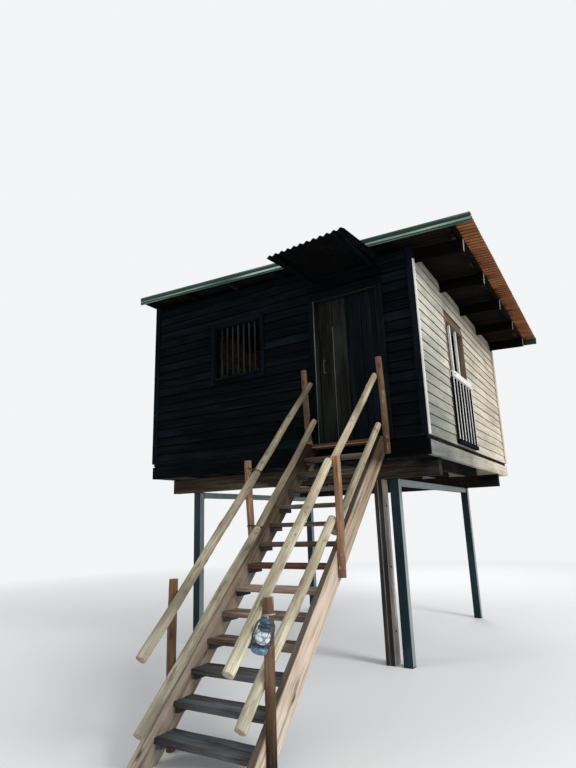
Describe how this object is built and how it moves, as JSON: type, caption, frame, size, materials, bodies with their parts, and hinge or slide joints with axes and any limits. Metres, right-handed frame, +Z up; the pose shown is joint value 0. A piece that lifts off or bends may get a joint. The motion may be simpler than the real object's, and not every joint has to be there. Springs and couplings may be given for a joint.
{
  "type": "tree house",
  "caption": "Boarded timber cabin with a sloping sheet roof, raised on steel posts, with a steep open stair, pole handrails and a plank door.",
  "frame": {"origin": "centre of the front right post's foot, on the ground", "axes": "+X to the right along the front, +Y from the front to the rear, +Z up"},
  "size_m": [4.9232, 7.7889, 4.9947],
  "materials": {
    "steel_paint": "dark blue-green paint, satin",
    "brown_timber": "stained brown, rough",
    "dark_boards": "near-black stain, weathered",
    "pale_boards": "grey, weathered",
    "floor_boards": "plain",
    "frame_wood": "weathered",
    "pale_paint": "pale paint",
    "door_boards": "dark, streaked",
    "black_iron": "black",
    "rusty_sheet": "rusty",
    "trim_paint": "dark green",
    "dark_sheet": "dull black",
    "stair_wood": "weathered",
    "tread_wood": "weathered",
    "peeled_pole": "peeled, grey-green",
    "newel_pole": "peeled, reddish",
    "lantern_paint": "blue-grey"
  },
  "bodies": {
    "house": {"post_front_left": "steel_paint", "post_front_right": "steel_paint", "post_rear_left": "steel_paint", "post_rear_right": "steel_paint", "timber_post": "brown_timber", "side_beam_left": "steel_paint", "side_beam_right": "steel_paint", "front_beam": "brown_timber", "rear_beam": "brown_timber", "floor_frame": "brown_timber", "floor": "floor_boards", "front_wall_left": "dark_boards", "front_wall_right": "dark_boards", "front_wall_over_door": "dark_boards", "left_wall": "pale_boards", "right_wall": "pale_boards", "rear_wall": "pale_boards", "window_frame_front": "frame_wood", "window_frame_left": "frame_wood", "window_frame_rear": "frame_wood", "side_gap_frame": "frame_wood", "balustrade": "pale_paint", "door_frame": "frame_wood", "door_hinges": "black_iron", "roof_frame": "brown_timber", "roof_sheets": "rusty_sheet", "front_trim": "trim_paint", "rear_trim": "trim_paint", "canopy": "dark_sheet", "threshold": "newel_pole", "stringer_left": "stair_wood", "stringer_right": "stair_wood", "treads": "tread_wood", "newel_top_left": "newel_pole", "newel_top_right": "newel_pole", "newel_middle_left": "newel_pole", "newel_middle_right": "newel_pole", "newel_bottom_left": "newel_pole", "newel_bottom_right": "newel_pole", "handrail_left_upper": "peeled_pole", "handrail_left_lower": "peeled_pole", "handrail_right_upper": "peeled_pole", "handrail_right_lower": "peeled_pole", "lantern": "lantern_paint"},
    "door": {"door": "door_boards"}
  },
  "joints": [
    {"name": "door_hinge", "type": "hinge", "parent": "house", "child": "door", "pos_m": [0.1175, -0.416, 2.475], "axis": [0, 0, -1], "range_deg": [0, 95]}
  ]
}
